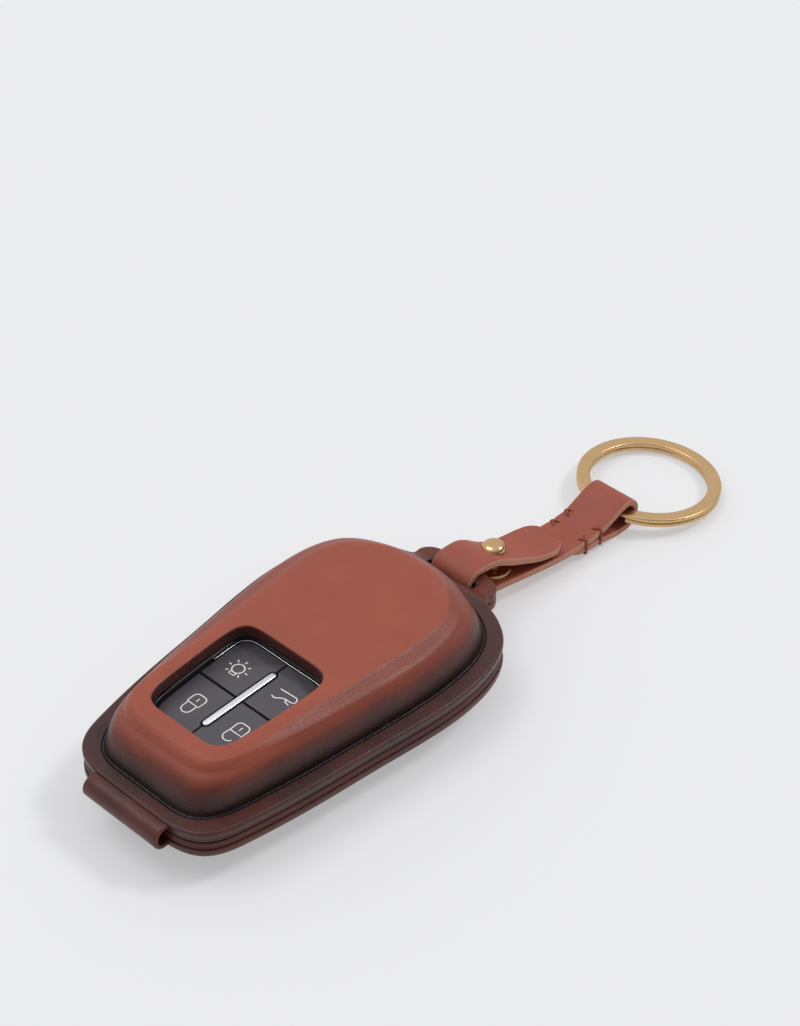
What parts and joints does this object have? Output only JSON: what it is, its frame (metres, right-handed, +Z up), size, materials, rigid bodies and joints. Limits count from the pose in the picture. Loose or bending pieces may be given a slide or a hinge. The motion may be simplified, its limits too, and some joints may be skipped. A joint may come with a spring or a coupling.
{
  "type": "leather car key case",
  "caption": "Moulded leather car-key case with a button window, a rolled leather hinge, a buttoned strap and a flat split ring, holding a push-button key.",
  "frame": {"origin": "centre of the flat underside of the lower shell", "axes": "+X from the hinge to the key ring, +Y across the case, +Z up out of the button window"},
  "size_m": [0.1675, 0.0538, 0.0218],
  "materials": {
    "leather": "smooth wet-moulded leather, burnished dark at the edges",
    "leather_dark": "burnished leather",
    "strap_leather": "smooth leather with pale cut edges",
    "thread": "waxed thread",
    "brass": "brushed pale gold",
    "key_plastic": "fine matt",
    "button_plastic": "soft-touch",
    "bright_trim": "satin chrome",
    "silicone": "matt",
    "board": "solder mask",
    "steel": "stamped",
    "copper_wire": "enamelled wire"
  },
  "bodies": {
    "case": {"lower_shell": "leather", "lower_lining": "leather_dark", "hinge_strip": "leather", "fob_top_housing": "key_plastic", "fob_bottom_housing": "key_plastic", "button_trim": "bright_trim", "divider_bar": "bright_trim", "key_mat": "silicone", "circuit_board": "board", "tact_switches": "steel", "coin_cell": "steel", "battery_clip_plus": "steel", "battery_clip_minus": "steel", "antenna_coil": "copper_wire", "controller_chip": "key_plastic", "crystal_can": "steel", "emergency_blade": "steel", "blade_grip": "key_plastic"},
    "lid": {"upper_shell": "leather", "upper_lining": "leather_dark"},
    "strap": {"strap": "strap_leather", "strap_loop": "strap_leather", "strap_stitches": "thread", "stud": "brass", "stud_screw": "brass"},
    "flap": {"strap_flap": "strap_leather"},
    "ring": {"split_ring": "brass"},
    "lights_button": {"button_lights": "button_plastic"},
    "boot_button": {"button_boot": "button_plastic"},
    "lock_button": {"button_lock": "button_plastic"},
    "unlock_button": {"button_unlock": "button_plastic"}
  },
  "joints": [
    {"name": "lid_hinge", "type": "hinge", "parent": "case", "child": "lid", "pos_m": [-0.0433, 0, 0.0094], "axis": [0, -1, 0], "range_deg": [0, 120], "deforming": ["hinge_strip", "strap_loop"]},
    {"name": "strap_swing", "type": "hinge", "parent": "case", "child": "strap", "pos_m": [0.0489, 0, 0.0085], "axis": [0, -1, 0], "range_deg": [-20, 30], "deforming": ["strap_loop"]},
    {"name": "flap_open", "type": "hinge", "parent": "strap", "child": "flap", "pos_m": [0.0489, 0, 0.0085], "axis": [0, -1, 0], "range_deg": [0, 60], "deforming": ["strap_loop"]},
    {"name": "ring_swing", "type": "hinge", "parent": "strap", "child": "ring", "pos_m": [0.0916, -0.0047, 0.0039], "axis": [0, -1, 0], "range_deg": [-60, 110]},
    {"name": "lights_press", "type": "slide", "parent": "case", "child": "lights_button", "axis": [0, 0, -1], "range_m": [0, 0.0005], "stiffness_N_per_m": 2000},
    {"name": "boot_press", "type": "slide", "parent": "case", "child": "boot_button", "axis": [0, 0, -1], "range_m": [0, 0.0005], "stiffness_N_per_m": 2000},
    {"name": "lock_press", "type": "slide", "parent": "case", "child": "lock_button", "axis": [0, 0, -1], "range_m": [0, 0.0005], "stiffness_N_per_m": 2000},
    {"name": "unlock_press", "type": "slide", "parent": "case", "child": "unlock_button", "axis": [0, 0, -1], "range_m": [0, 0.0005], "stiffness_N_per_m": 2000}
  ]
}
